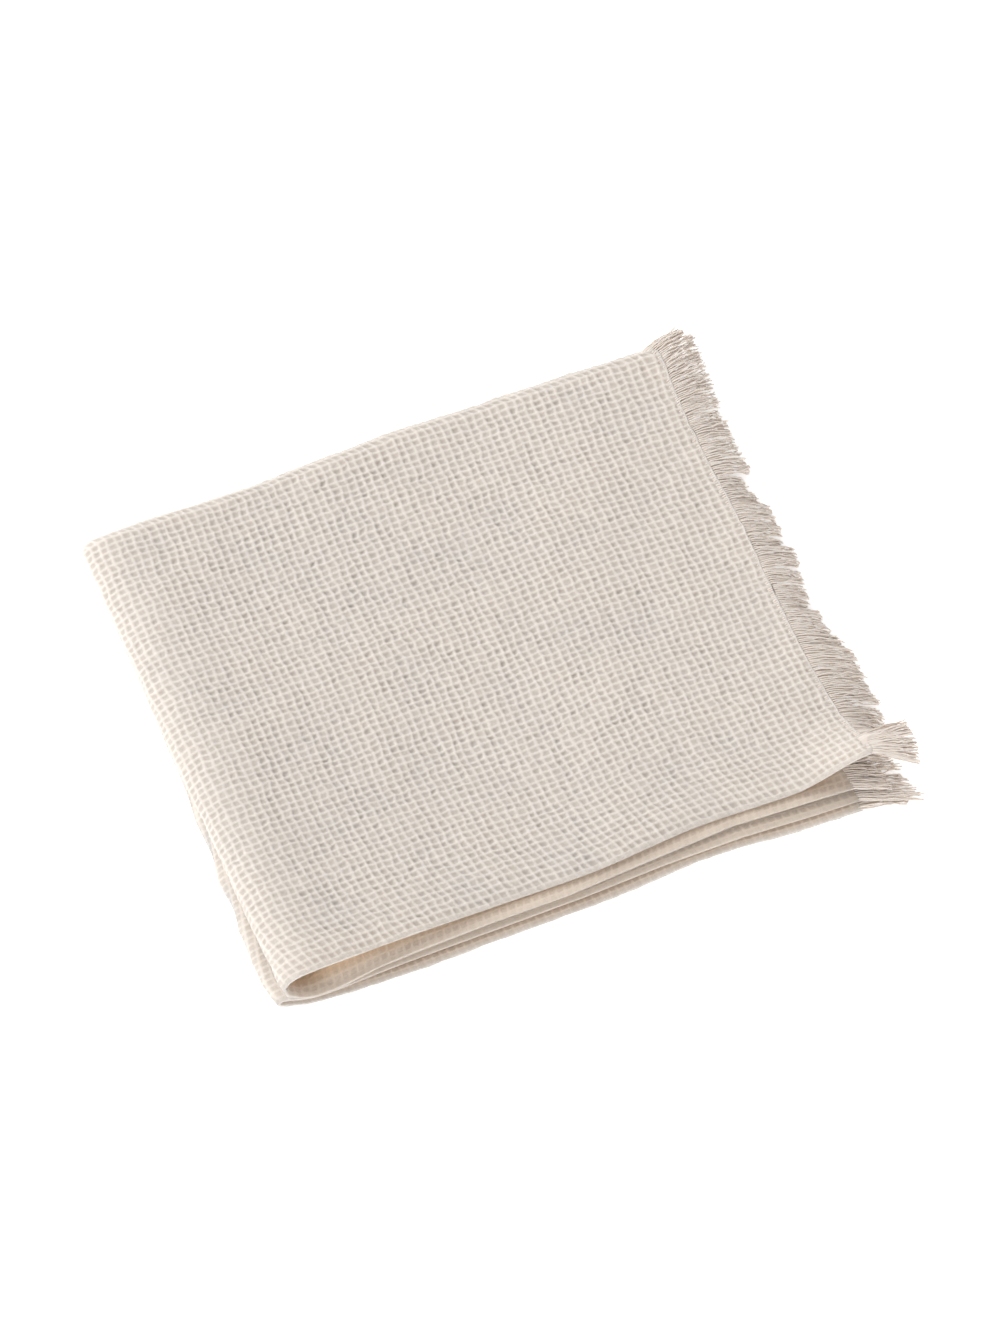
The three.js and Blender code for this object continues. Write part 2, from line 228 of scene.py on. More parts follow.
# %% Paths along the cloth
def lengthwise_paths(b, straight_points=240, round_points=30):
    """For each place b, the cloth's middle from one fringed end round the left fold to the other."""
    b = b[:, None]
    q, turn, bottom = place_of(b)
    fold = mix(read(WIDTHS, "q", "fold_top", q), read(WIDTHS, "q", "fold_bottom", q), bottom)
    depth = mix(FOLD_DEPTH["top"], FOLD_DEPTH["bottom"], bottom)
    depth = depth * (1 - FOLD_DEPTH["pinch_at_corner"] * np.sin(turn))
    share = np.linspace(0, 1, straight_points)[None, :]
    angle = np.linspace(0, np.pi / 2, round_points)[None, :]
    outer_end, inner_end = fringed_end(1, b), fringed_end(-1, b)
    outer = leaf_points(1, b, mix(outer_end, fold + depth, share))
    inner = leaf_points(-1, b, mix(fold + depth, inner_end, share))
    x = fold + depth * (1 - np.cos(angle))
    above, below = leaf_points(1, b, x), leaf_points(-1, b, x)
    sine = np.sin(angle)[..., None]
    cap_outer = mix(below, above, (1 + sine) / 2)[:, ::-1]
    cap_inner = mix(below, above, (1 - sine) / 2)
    return np.concatenate([outer, cap_outer[:, 1:], cap_inner[:, 1:], inner[:, 1:]], axis=1)


def along_path(paths, distances):
    """Points at given distances along each path, and each path's length."""
    steps = np.linalg.norm(np.diff(paths, axis=1), axis=-1)
    arc = np.concatenate([np.zeros((len(paths), 1)), np.cumsum(steps, axis=1)], axis=1)
    rows = []
    for path, at, wanted in zip(paths, arc, distances(arc[:, -1])):
        rows.append(np.stack([np.interp(wanted, at, path[:, k]) for k in range(3)], axis=-1))
    return np.array(rows), arc[:, -1]


print("fringed end of the top layer at the back fold: x =", fringed_end(1, np.array(0.0)).round(1), "mm")

# %% [markdown]
# ## Where the mesh has its lines
# A waffle cell is a small pit between raised yarns. The cells of the top face show, so the relief
# there is real geometry, with four lines for each cell: two at the top of the ridge and two in
# the pit. The relief runs a little way round both folds, 74 cells along the cloth and 73 across.
# The layers underneath show only an edge, so their lines stand far apart and the material draws
# their cells.

# %% Lines of the mesh
CELL_LENGTH = 4.27
CELL_WIDTH = 3.57
SELVEDGE_BAND = 2.2
SELVEDGE_LINES = [0, 0.3, 0.8, 1.5]
LINES_IN_CELL = [-0.1, 0.1, 0.31, 0.69]
WOVEN_CELLS_ALONG = 74
TOP_WIDTH = 254.0
BEND_LENGTH = 24.3
BOTTOM_WIDTH = 262.0
WOVEN_TO_BEND = 0.45
LINES_IN_TURN = 4
UNDER_LINES = [
    0.01, 0.025, 0.042, 0.065, 0.09, 0.12, 0.155, 0.2, 0.27, 0.38, 0.52, 0.66, 0.8, 0.92, 1,
]
BOTTOM_LINES = [0.1, 0.25, 0.42, 0.58, 0.72, 0.83, 0.9, 0.95, 0.98, 1]


def cell_lines(last):
    lines = [cell + share for cell in range(last + 1) for share in LINES_IN_CELL]
    return np.array([line for line in lines if 0 < line < last])


u_woven = np.concatenate([[0], cell_lines(WOVEN_CELLS_ALONG)])
woven_rows = int((TOP_WIDTH + BEND_LENGTH * WOVEN_TO_BEND - SELVEDGE_BAND) / CELL_WIDTH)
selvedge = np.array(SELVEDGE_LINES) / CELL_WIDTH - SELVEDGE_BAND / CELL_WIDTH
v_top = np.concatenate([selvedge, cell_lines(woven_rows)])
print("cells with relief:", WOVEN_CELLS_ALONG, "along,", woven_rows, "across")

# %% [markdown]
# Two numbers count the cells: u along the cloth, from the top layer's fringed end, and v across
# it, from where the waffle starts beside the front selvedge. Place b follows from v, and v from b.

# %% From cells to places
def place_from_v(v):
    """Place b of a line v cells from the start of the waffle, on the top pair and its bend."""
    distance = v * CELL_WIDTH + SELVEDGE_BAND
    flat = -(BEND_SHARE + (1 - BEND_SHARE) * (1 - distance / TOP_WIDTH))
    bend = -BEND_SHARE + (distance - TOP_WIDTH) / BEND_LENGTH * 2 * BEND_SHARE
    return np.where(distance < TOP_WIDTH, flat, bend)


def v_from_place(b):
    distance = TOP_WIDTH + BEND_LENGTH + BOTTOM_WIDTH * (b - BEND_SHARE) / (1 - BEND_SHARE)
    bend = TOP_WIDTH + (b + BEND_SHARE) / (2 * BEND_SHARE) * BEND_LENGTH
    return (np.where(b < BEND_SHARE, bend, distance) - SELVEDGE_BAND) / CELL_WIDTH


b_top = place_from_v(v_top)
b_top[0] = -1
turn_lines = np.linspace(b_top[-1], BEND_SHARE, LINES_IN_TURN + 1)[1:]
b_bottom = np.concatenate([turn_lines, BEND_SHARE + (1 - BEND_SHARE) * np.array(BOTTOM_LINES)])
b_lines = np.concatenate([b_top, b_bottom])
v_lines = np.concatenate([v_top, v_from_place(b_bottom)])
ROWS_OF_CELLS = float(v_lines[-1] - SELVEDGE_BAND / CELL_WIDTH)
print(len(b_lines), "lines across", len(u_woven) + len(UNDER_LINES), "lines along")

# %% [markdown]
# Each path is walked at those distances. That gives the cloth's middle as a grid, whose
# differences along its two directions give the way outward at every point.

# %% The middle of the cloth
def distances_along(lengths):
    woven_part = u_woven * CELL_LENGTH
    for length in lengths:
        yield np.concatenate([woven_part, mix(woven_part[-1], length, np.array(UNDER_LINES))])


paths = lengthwise_paths(b_lines)
middle, path_lengths = along_path(paths, distances_along)
u_grid = np.array(list(distances_along(path_lengths))) / CELL_LENGTH
v_grid = np.broadcast_to(v_lines[:, None], u_grid.shape)
across = np.gradient(middle, axis=1)
along = np.gradient(middle, axis=0)
across /= np.linalg.norm(across, axis=-1, keepdims=True)
along /= np.linalg.norm(along, axis=-1, keepdims=True)
outward = np.cross(along, across)
outward /= np.linalg.norm(outward, axis=-1, keepdims=True)
print("cloth between its fringes, in mm:", path_lengths.min().round(), "to", path_lengths.max().round())

# %% [markdown]
# ## The waffle relief
# In a waffle weave the floats get longer towards each ridge, so the ridges stand up and the
# cells sink when the cloth is washed. Washing also pulls the yarns a little out of line. Each
# crossing here is moved by its own small random amount, the ridges between two crossings follow,
# and each pit has a depth of its own.

# %% Random values of the weave
PIT_DEPTH = 1.0
WOBBLE = {"cells": 0.105, "shared": 0.4, "smoothing": 3, "most": 2.2}
UNEVEN = {"depth": 0.2, "ridge": 0.2, "most": 2}
DENTS = {"height": 0.22, "smoothing": 14}
EDGE_ROUGHNESS = 0.22
WEAVE_SEED = 7
SPARE_CELLS = 3

rng = np.random.default_rng(WEAVE_SEED)
cells_shape = (int(v_grid.max()) + SPARE_CELLS, int(u_grid.max()) + SPARE_CELLS)


def smoothed(noise, times):
    for _ in range(times):
        noise = (noise + np.roll(noise, 1, 0) + np.roll(noise, 1, 1) + np.roll(noise, (1, 1), (0, 1))) / 4
    return noise / noise.std()


def uneven_noise(shape):
    return np.clip(rng.normal(size=shape), -UNEVEN["most"], UNEVEN["most"])


own = rng.normal(size=cells_shape + (2,))
shared = np.stack([
    smoothed(rng.normal(size=cells_shape), WOBBLE["smoothing"]) for _ in range(2)
], axis=-1)
crossing_shift = np.clip(own + WOBBLE["shared"] * shared, -WOBBLE["most"], WOBBLE["most"]) * WOBBLE["cells"]
pit_depth = PIT_DEPTH * (1 + UNEVEN["depth"] * uneven_noise(cells_shape))
ridge_height = 1 + UNEVEN["ridge"] * uneven_noise(cells_shape + (1,))
dents = DENTS["height"] * smoothed(rng.normal(size=cells_shape), DENTS["smoothing"])[..., None]
edge_noise = EDGE_ROUGHNESS * rng.normal(size=u_grid.shape)
print("a crossing moves by up to", round(float(np.abs(crossing_shift).max()) * CELL_LENGTH, 2), "mm")

# %% [markdown]
# The values of a crossing are carried over to the points around it. The relief is full on the woven cells of
# the top face and fades out at the selvedge and the fringe. Where the cloth is drawn round the left fold its
# pits are shallower, and the light falls on them more evenly; that band also gets painted light, a paler
# colour for the side of the fold that faces the light. The layers underneath are painted paler as well,
# painted light on cloth that lies in the shade of the layers above. The layers inside the fold lie in light
# that came off the cloth around them, which is warmer.

# %% Relief
RIDGE_HALF_WIDTH = 0.07
PIT_EDGE = 0.31
CROSSING_RISE = 0.36
FADE_CELLS = 0.3
# Painted light: the band round the left fold is painted paler, for the light that falls on the fold's side.
STRETCHED = {"until_x": 4, "over_x": 30, "depth_share": 0.7, "painted_light": 0.1}
# Painted light: the layers underneath are painted paler, though they lie in shade.
UNDER_LAYERS = {"from_mm": 322, "over_mm": 18, "painted_light": 0.4, "tint": 0.3}


def between_crossings(values, v, u):
    """A crossing's values carried over to points between the crossings."""
    v, u = np.clip(v, 0, None), np.clip(u, 0, None)
    i, j = v.astype(int), u.astype(int)
    s, t = (v - i)[..., None], (u - j)[..., None]
    near = mix(values[i, j], values[i, j + 1], t)
    far = mix(values[i + 1, j], values[i + 1, j + 1], t)
    return mix(near, far, s)


def rounded(share_of_cell):
    return 1 - ease((np.abs(share_of_cell) - RIDGE_HALF_WIDTH) / (PIT_EDGE - RIDGE_HALF_WIDTH))


woven = np.zeros(u_grid.shape)
woven[:len(v_top), :len(u_woven)] = 1
woven *= ease(v_grid / FADE_CELLS + 1) * ease(u_grid / FADE_CELLS)
stretched = 1 - ease((middle[..., 0] - STRETCHED["until_x"]) / STRETCHED["over_x"])
under = ease((u_grid * CELL_LENGTH - UNDER_LAYERS["from_mm"]) / UNDER_LAYERS["over_mm"])
# Painted light, as a share of the way from the pit's colour to the ridge's.
painted_light = STRETCHED["painted_light"] * stretched * (1 - under) + UNDER_LAYERS["painted_light"] * under

ridge_u = rounded(u_grid - np.round(u_grid))
ridge_v = rounded(v_grid - np.round(v_grid))
ridge = np.maximum(ridge_u, ridge_v) * (1 - CROSSING_RISE) + CROSSING_RISE * ridge_u * ridge_v
ridge *= between_crossings(ridge_height, v_grid, u_grid)[..., 0]
depth_here = pit_depth[np.clip(v_grid, 0, None).astype(int), np.clip(u_grid, 0, None).astype(int)]
depth_here = depth_here * mix(1, STRETCHED["depth_share"], stretched)
relief = -(1 - ridge) * depth_here * woven + between_crossings(dents, v_grid, u_grid)[..., 0]
relief += edge_noise * (v_grid < 0)
print("relief in mm, from", relief.min().round(2), "to", relief.max().round(2))

# %% [markdown]
# The sheet is closed: a fine grid on its outer side, a coarser one on its inner side, and a rim
# between the two. Both sides use the same numbers, so the cloth keeps its thickness between the
# ridges and gets thinner only at its selvedges. Nothing of it goes below the surface it lies on.

# %% The sheet's two sides
THIN_EDGE = {"share": 0.7, "over_cells": 0.4}
SHIFT_WHERE_DRAWN = 0.6
INNER_STEP = 10
INNER_ROWS_AT_SELVEDGE = [2, 4, 8, 14]
INNER_COLUMNS_AT_FOLD = {"count": 40, "step": 3}


def chosen(count, fine_until, near):
    """Every tenth line where the outer side is fine, all lines after that, and the near ones."""
    kept = set(range(0, fine_until, INNER_STEP)) | set(range(fine_until, count)) | {0, count - 1}
    return np.array(sorted(kept | set(near)))


shift = between_crossings(crossing_shift, v_grid, u_grid)
shift_mm = shift[..., 1:] * CELL_LENGTH * across + shift[..., :1] * CELL_WIDTH * along
shift_mm *= (woven * (1 - SHIFT_WHERE_DRAWN) + SHIFT_WHERE_DRAWN)[..., None]
from_selvedge = np.minimum(v_grid - v_lines[0], v_lines[-1] - v_grid)
fullness = mix(THIN_EDGE["share"], 1, ease(from_selvedge / THIN_EDGE["over_cells"]))
half = CLOTH_THICKNESS / 2 * fullness
outer_side = middle + outward * (half + relief)[..., None] + shift_mm
inner_side = middle - outward * half[..., None]

fold_columns = range(
    len(u_woven) - INNER_COLUMNS_AT_FOLD["count"], len(u_woven), INNER_COLUMNS_AT_FOLD["step"],
)
inner_rows = chosen(len(b_lines), len(b_top), INNER_ROWS_AT_SELVEDGE)
inner_columns = chosen(u_grid.shape[1], len(u_woven), fold_columns)
inner_cut = np.ix_(inner_rows, inner_columns)
outer_index = np.arange(u_grid.size).reshape(u_grid.shape)
inner_index = u_grid.size + np.arange(inner_rows.size * inner_columns.size)
inner_index = inner_index.reshape(inner_rows.size, inner_columns.size)
points = np.concatenate([outer_side.reshape(-1, 3), inner_side[inner_cut].reshape(-1, 3)])
points[:, 2] = np.maximum(points[:, 2], 0)
print(outer_index.size, "points outside and", inner_index.size, "inside")

# %% [markdown]
# The faces follow from the two grids. The mesh carries a UV map that counts the cells, and three values for
# its material: how much of the relief is real, how warm the light is, and how much painted light the cotton
# gets. The warm light starts a little way in from every edge.

# %% The sheet's mesh
INSIDE_FROM = 1.0
INSIDE_OVER = 9.0


def quads(index, turned=False):
    corners = [index[:-1, :-1], index[1:, :-1], index[1:, 1:], index[:-1, 1:]]
    if turned:
        corners.reverse()
    return np.stack([corner.ravel() for corner in corners], axis=-1).tolist()


def rim(outer_chain, inner_chain, kept, turned=False):
    faces = []
    for k in range(len(kept) - 1):
        face = [*outer_chain[kept[k]:kept[k + 1] + 1], inner_chain[k + 1], inner_chain[k]]
        faces.append([int(v) for v in (reversed(face) if turned else face)])
    return faces


def in_metres(points_mm):
    return (np.asarray(points_mm) - PART_ORIGIN) * MM


def add_object(name, mesh):
    piece = bpy.data.objects.new(name, mesh)
    bpy.context.collection.objects.link(piece)
    return piece


faces = quads(outer_index) + quads(inner_index, turned=True)
faces += rim(outer_index[0], inner_index[0], inner_columns)
faces += rim(outer_index[-1], inner_index[-1], inner_columns, turned=True)
faces += rim(outer_index[:, 0], inner_index[:, 0], inner_rows, turned=True)
faces += rim(outer_index[:, -1], inner_index[:, -1], inner_rows)

from_edge = np.minimum.reduce([from_selvedge, u_grid, u_grid[:, -1:] - u_grid])
under_tint = UNDER_LAYERS["tint"] * under
inside = np.maximum(ease((from_edge * CELL_WIDTH - INSIDE_FROM) / INSIDE_OVER), under_tint)
values_of_points = {
    "woven": (woven, np.zeros(inner_index.shape)),
    "inside": (under_tint, inside[inner_cut]),
    "painted_light": (painted_light, painted_light[inner_cut]),
}
cells_uv = np.stack([u_grid, v_grid], axis=-1)
uv = np.concatenate([cells_uv.reshape(-1, 2), cells_uv[inner_cut].reshape(-1, 2)])

towel_mesh = bpy.data.meshes.new("waffle_towel")
towel_mesh.from_pydata(in_metres(points).tolist(), [], faces)
towel_mesh.update()
uv_layer = towel_mesh.uv_layers.new(name="cells")
corner_points = np.empty(len(towel_mesh.loops), int)
towel_mesh.loops.foreach_get("vertex_index", corner_points)
uv_layer.data.foreach_set("uv", uv[corner_points].ravel().astype(np.float32))
for name, (outside, within) in values_of_points.items():
    layer = towel_mesh.attributes.new(name, "FLOAT", "POINT")
    layer.data.foreach_set("value", np.concatenate([outside.ravel(), within.ravel()]).astype(np.float32))
towel_mesh.shade_smooth()
towel = add_object("waffle_towel", towel_mesh)
print("waffle_towel:", sum(len(face) - 2 for face in faces), "triangles")

# %% [markdown]
# ## Materials
# Colours are written as in a paint program, and one function turns them to Blender's linear
# values. One more adds a node with its settings and its links.

# %% Colours and nodes
def linear(hex_colour):
    channels = [int(hex_colour[k:k + 2], 16) / 255 for k in (1, 3, 5)]
    straight = [c / 12.92 if c <= 0.04045 else ((c + 0.055) / 1.055) ** 2.4 for c in channels]
    return (*straight, 1.0)


def add_node(tree, kind, settings=None, **inputs):
    """Adds a node. An input is a value, an output socket, or a node whose first output is meant.

    An input is named as its socket is, with _ for a space, or by its number, as in _0.
    """
    node = tree.nodes.new(kind)
    for name, value in (settings or {}).items():
        setattr(node, name, value)
    for name, value in inputs.items():
        socket = node.inputs[int(name[1:]) if name[0] == "_" else name.replace("_", " ")]
        if isinstance(value, bpy.types.Node):
            value = value.outputs[0]
        if isinstance(value, bpy.types.NodeSocket):
            tree.links.new(value, socket)
        else:
            socket.default_value = value
    return node


def new_material(name, **inputs):
    """A material whose Principled shader has these inputs, its node tree and the shader."""
    material = bpy.data.materials.new(name)
    material.use_nodes = True
    shader = material.node_tree.nodes["Principled BSDF"]
    for setting, value in inputs.items():
        shader.inputs[setting.replace("_", " ")].default_value = value
    return material, material.node_tree, shader


ADD = {"operation": "ADD"}
SUBTRACT = {"operation": "SUBTRACT"}
MULTIPLY = {"operation": "MULTIPLY"}
MULTIPLY_ADD = {"operation": "MULTIPLY_ADD"}
MAXIMUM = {"operation": "MAXIMUM"}
SINE = {"operation": "SINE"}
print("white in linear values:", linear("#ffffff"))

# %% [markdown]
# ### Washed waffle cotton
# The yarn is undyed cotton, spun loosely and washed, so it is matte, with a soft sheen from its loose fibres,
# and light goes a few millimetres into it. The pits are painted darker than the ridges, a painted shade for
# the light that is lost between the yarns, and the crossings of the ridges get a painted highlight. The cells
# are counted by the cloth's own UV map, one unit for each cell, so the ridges of the colour lie on the ridges
# of the mesh. The selvedges are plain, with only a trace of the cells.

# %% Ridges and plain bands
DRAWN_RIDGE_HALF_WIDTH = 0.03
PLAIN_BAND = {"tone": 0.6, "cells": 0.35, "yarn_depth": 1.5}
INSIDE_FLATTER = 0.6

waffle, tree, shader = new_material(
    "washed_waffle_cotton",
    Roughness=0.92,
    IOR=1.45,
    Specular_IOR_Level=0.25,
    Sheen_Weight=0.25,
    Sheen_Roughness=0.6,
    Subsurface_Weight=0.6,
    Subsurface_Radius=(1.0, 0.96, 0.92),
    Subsurface_Scale=4.0 * MM,
)
cells = add_node(tree, "ShaderNodeUVMap", {"uv_map": "cells"})
cell_axes = add_node(tree, "ShaderNodeSeparateXYZ", Vector=cells).outputs
cells_along, cells_across = cell_axes["X"], cell_axes["Y"]
from_mesh = {
    name: add_node(tree, "ShaderNodeAttribute", {"attribute_name": name}).outputs["Fac"]
    for name in values_of_points
}


def drawn_ridge(coordinate):
    distance = add_node(tree, "ShaderNodeMath", {"operation": "PINGPONG"}, _0=coordinate, _1=0.5)
    return add_node(
        tree, "ShaderNodeMapRange", {"interpolation_type": "SMOOTHSTEP"},
        Value=distance, From_Min=DRAWN_RIDGE_HALF_WIDTH, From_Max=PIT_EDGE, To_Min=1.0, To_Max=0.0,
    )


drawn_u, drawn_v = drawn_ridge(cells_along), drawn_ridge(cells_across)
crossing = add_node(tree, "ShaderNodeMath", MULTIPLY, _0=drawn_u, _1=drawn_v)
either = add_node(tree, "ShaderNodeMath", ADD, _0=drawn_u, _1=drawn_v)
ridges = add_node(tree, "ShaderNodeMath", SUBTRACT, _0=either, _1=crossing)
front_band = add_node(tree, "ShaderNodeMath", {"operation": "LESS_THAN"}, _0=cells_across, _1=0.0)
far_band = add_node(
    tree, "ShaderNodeMath", {"operation": "GREATER_THAN"}, _0=cells_across, _1=ROWS_OF_CELLS,
)
plain = add_node(tree, "ShaderNodeMath", MAXIMUM, _0=front_band, _1=far_band)
not_plain = add_node(tree, "ShaderNodeMath", SUBTRACT, _0=1.0, _1=plain)
band_cells = add_node(
    tree, "ShaderNodeMath", MULTIPLY_ADD, _0=drawn_u, _1=PLAIN_BAND["cells"], _2=PLAIN_BAND["tone"],
)
ridges_here = add_node(tree, "ShaderNodeMath", MULTIPLY, _0=ridges, _1=not_plain)
band_here = add_node(tree, "ShaderNodeMath", MULTIPLY, _0=plain, _1=band_cells)
raised_yarns = add_node(tree, "ShaderNodeMath", ADD, _0=ridges_here, _1=band_here)
# Inside, the drawn cells are flatter, and so their colour moves towards the pits' painted shade.
flatter = add_node(
    tree, "ShaderNodeMath", MULTIPLY_ADD, _0=from_mesh["inside"], _1=-INSIDE_FLATTER, _2=1.0,
)
raised_yarns = add_node(tree, "ShaderNodeMath", MULTIPLY, _0=raised_yarns, _1=flatter)
print("plain past", round(ROWS_OF_CELLS, 1), "rows of cells")

# %% [markdown]
# The colour runs from the pit's painted shade to the ridge's colour. Each cell has its own tone, the fuzz of
# the yarn and a wide mottle add theirs, the crossings add a painted highlight, the fold band and the layers
# underneath add painted light, and the warm light between the layers is a tint on top.

# %% Colour of the waffle
RIDGE_COLOUR = "#e6ddd4"
# Painted shade: the pits are painted darker than the ridges, for the light that is lost between the yarns.
PIT_SHADE_COLOUR = "#cdc3b9"
INNER_TINT = "#f1d7b9"
# How far the ridges are from the pits' painted shade.
RIDGE_TONE = 0.75
# Painted highlight: the crossings of the ridges are painted paler, where the raised crossings catch the
# light.
CROSSING_HIGHLIGHT = 0.25
CELL_TONES = 0.22
FUZZ_TONES = 1.0
FUZZ_SIZE = 0.9
MOTTLE_TONES = 0.3
MOTTLES_PER_METRE = 9.0

object_place = add_node(tree, "ShaderNodeTexCoord").outputs["Object"]
cell_number = add_node(tree, "ShaderNodeVectorMath", {"operation": "FLOOR"}, _0=cells)
cell_noise = add_node(tree, "ShaderNodeTexWhiteNoise", {"noise_dimensions": "2D"}, Vector=cell_number)
fuzz = add_node(tree, "ShaderNodeTexNoise", Vector=object_place, Scale=1 / (FUZZ_SIZE * MM), Detail=2.0)
mottle = add_node(tree, "ShaderNodeTexNoise", Vector=object_place, Scale=MOTTLES_PER_METRE, Detail=3.0)

# Painted highlight on the crossings.
crossing_highlight = add_node(tree, "ShaderNodeMath", MULTIPLY, _0=crossing, _1=CROSSING_HIGHLIGHT)
lightness = add_node(tree, "ShaderNodeMath", MULTIPLY_ADD, _0=raised_yarns, _1=RIDGE_TONE, _2=crossing_highlight)
for noise, spread in ((cell_noise, CELL_TONES), (fuzz, FUZZ_TONES), (mottle, MOTTLE_TONES)):
    tone = add_node(tree, "ShaderNodeMath", MULTIPLY_ADD, _0=noise, _1=spread, _2=-spread / 2)
    lightness = add_node(tree, "ShaderNodeMath", ADD, _0=lightness, _1=tone)
# Painted light of the fold band and of the layers underneath.
lightness = add_node(tree, "ShaderNodeMath", ADD, _0=lightness, _1=from_mesh["painted_light"])
colour = add_node(
    tree, "ShaderNodeMix", {"data_type": "RGBA", "clamp_factor": True},
    _0=lightness, _6=linear(PIT_SHADE_COLOUR), _7=linear(RIDGE_COLOUR),
)
tinted = add_node(
    tree, "ShaderNodeMix", {"data_type": "RGBA", "blend_type": "MULTIPLY"},
    _0=from_mesh["inside"], _6=colour.outputs[2], _7=linear(INNER_TINT),
)
tree.links.new(tinted.outputs[2], shader.inputs["Base Color"])
print("pits", PIT_SHADE_COLOUR, "and ridges", RIDGE_COLOUR)

# %% [markdown]
# Three bumps lie over one another: the cells where the mesh has none, the single yarns, and
# their fuzz. The real yarns stand closer together than here. They are drawn at 0.6 mm so that
# they show.

# %% Bumps of the waffle
YARN_SPACING = 0.6
BUMPS = {
    "cells": {"strength": 0.5, "depth": 0.6},
    "yarns": {"strength": 0.6, "depth": 0.12},
    "fuzz": {"strength": 0.6, "depth": 0.35},
}


def yarn_wave(coordinate, cell_size):
    turns = 2 * math.pi * cell_size / YARN_SPACING
    angle = add_node(tree, "ShaderNodeMath", MULTIPLY, _0=coordinate, _1=turns)
    return add_node(tree, "ShaderNodeMath", SINE, _0=angle)


not_woven = add_node(tree, "ShaderNodeMath", SUBTRACT, _0=1.0, _1=from_mesh["woven"])
drawn_relief = add_node(tree, "ShaderNodeMath", MULTIPLY, _0=raised_yarns, _1=not_woven)
warp = yarn_wave(cells_along, CELL_LENGTH)
weft = yarn_wave(cells_across, CELL_WIDTH)
yarns = add_node(tree, "ShaderNodeMath", MULTIPLY, _0=warp, _1=weft)
yarn_depth = add_node(tree, "ShaderNodeMath", MULTIPLY_ADD, _0=plain, _1=PLAIN_BAND["yarn_depth"], _2=1.0)
yarn_relief = add_node(tree, "ShaderNodeMath", MULTIPLY, _0=yarns, _1=yarn_depth)
bump_inputs = {}
for name, relief_node in (("cells", drawn_relief), ("yarns", yarn_relief), ("fuzz", fuzz)):
    bump = add_node(
        tree, "ShaderNodeBump", Height=relief_node, Strength=BUMPS[name]["strength"],
        Distance=BUMPS[name]["depth"] * MM, **bump_inputs,
    )
    bump_inputs = {"Normal": bump}
tree.links.new(bump.outputs["Normal"], shader.inputs["Normal"])
towel_mesh.materials.append(waffle)
print("material:", waffle.name)

# %% [markdown]
# ### Fringe yarn
# The fringe is the warp itself, left unwoven past the last weft. Each strand is the same cotton, with a tone
# that is partly its own and partly painted shade: the strands that lie between the others are painted greyer,
# and the lower fringes are painted paler as painted light. Each strand has a bump that runs round it like the
# twist of two plies.

# %% Fringe yarn material
STRAND_LIGHT = "#faeee3"
STRAND_DARK = "#dccdc0"
TWIST_LENGTH = 1.6
PLIES = 2
TWIST_BUMP = {"strength": 0.5, "depth": 0.12}

yarn, tree, shader = new_material(
    "loose_cotton_yarn",
    Roughness=0.9,
    Specular_IOR_Level=0.25,
    Sheen_Weight=0.25,
    Sheen_Roughness=0.6,
    Subsurface_Weight=0.2,
    Subsurface_Radius=(1.0, 0.85, 0.7),
    Subsurface_Scale=1.0 * MM,
)
strand_tone_and_shade, along_mm, round_share = [
    add_node(tree, "ShaderNodeAttribute", {"attribute_name": name}).outputs["Fac"]
    for name in ("strand_tone_and_shade", "along_mm", "round")
]
turns = add_node(tree, "ShaderNodeMath", MULTIPLY_ADD, _0=along_mm, _1=1 / TWIST_LENGTH, _2=round_share)
angle = add_node(tree, "ShaderNodeMath", MULTIPLY, _0=turns, _1=2 * math.pi * PLIES)
plies = add_node(tree, "ShaderNodeMath", SINE, _0=angle)
colour = add_node(
    tree, "ShaderNodeMix", {"data_type": "RGBA", "clamp_factor": True},
    _0=strand_tone_and_shade, _6=linear(STRAND_DARK), _7=linear(STRAND_LIGHT),
)
tree.links.new(colour.outputs[2], shader.inputs["Base Color"])
twist = add_node(
    tree, "ShaderNodeBump", Height=plies, Strength=TWIST_BUMP["strength"], Distance=TWIST_BUMP["depth"] * MM,
)
tree.links.new(twist.outputs["Normal"], shader.inputs["Normal"])
print("material:", yarn.name)

# %% [markdown]
# ## The fringes
# The strands of a fringe cling together in locks. The tables say where each fringe is as places
# b, how long its strands are and how high their tips lie, and then, over the width from the back
# fold to the front, how far they lean to the front in degrees, what share of their length they
# have and how much the top fringe's tips are raised. The top fringe shows, so each of its locks
# has an end and a length of its own, from the front to the back.

# %% Tables of the fringes
FRINGES = [
    {"name": "fringe_top", "leaf": 1, "from": -1, "to": -0.012, "long": 29, "leans": "top", "tip": 1.6},
    {"name": "fringe_second", "leaf": -1, "from": -1, "to": -0.03, "long": 23, "leans": "others", "tip": 7},
    {"name": "fringe_third", "leaf": -1, "from": 0.03, "to": 1, "long": 30, "leans": "others", "tip": 3.1},
    {"name": "fringe_bottom", "leaf": 1, "from": 0.03, "to": 1, "long": 23, "leans": "others", "tip": 0.6},
]
LEANS = {
    "q": [0, 0.12, 0.4, 0.7, 0.82, 0.9, 0.93, 0.96, 1],
    "top": [-22, -12, -1, 3, 4, 5, 5, -2, 36],
    "others": [6, 3, 1, 3, 5, 7, 9, 12.5, 20],
    "top_share": [0.95, 0.88, 0.84, 1, 1.05, 1, 0.97, 0.8, 0.9],
    "others_share": [0.8, 0.8, 0.78, 0.76, 0.76, 0.8, 0.87, 0.95, 1],
    "raise": [4, 2, 0.4, 0, 0, 1, 3, 24, 27],
}
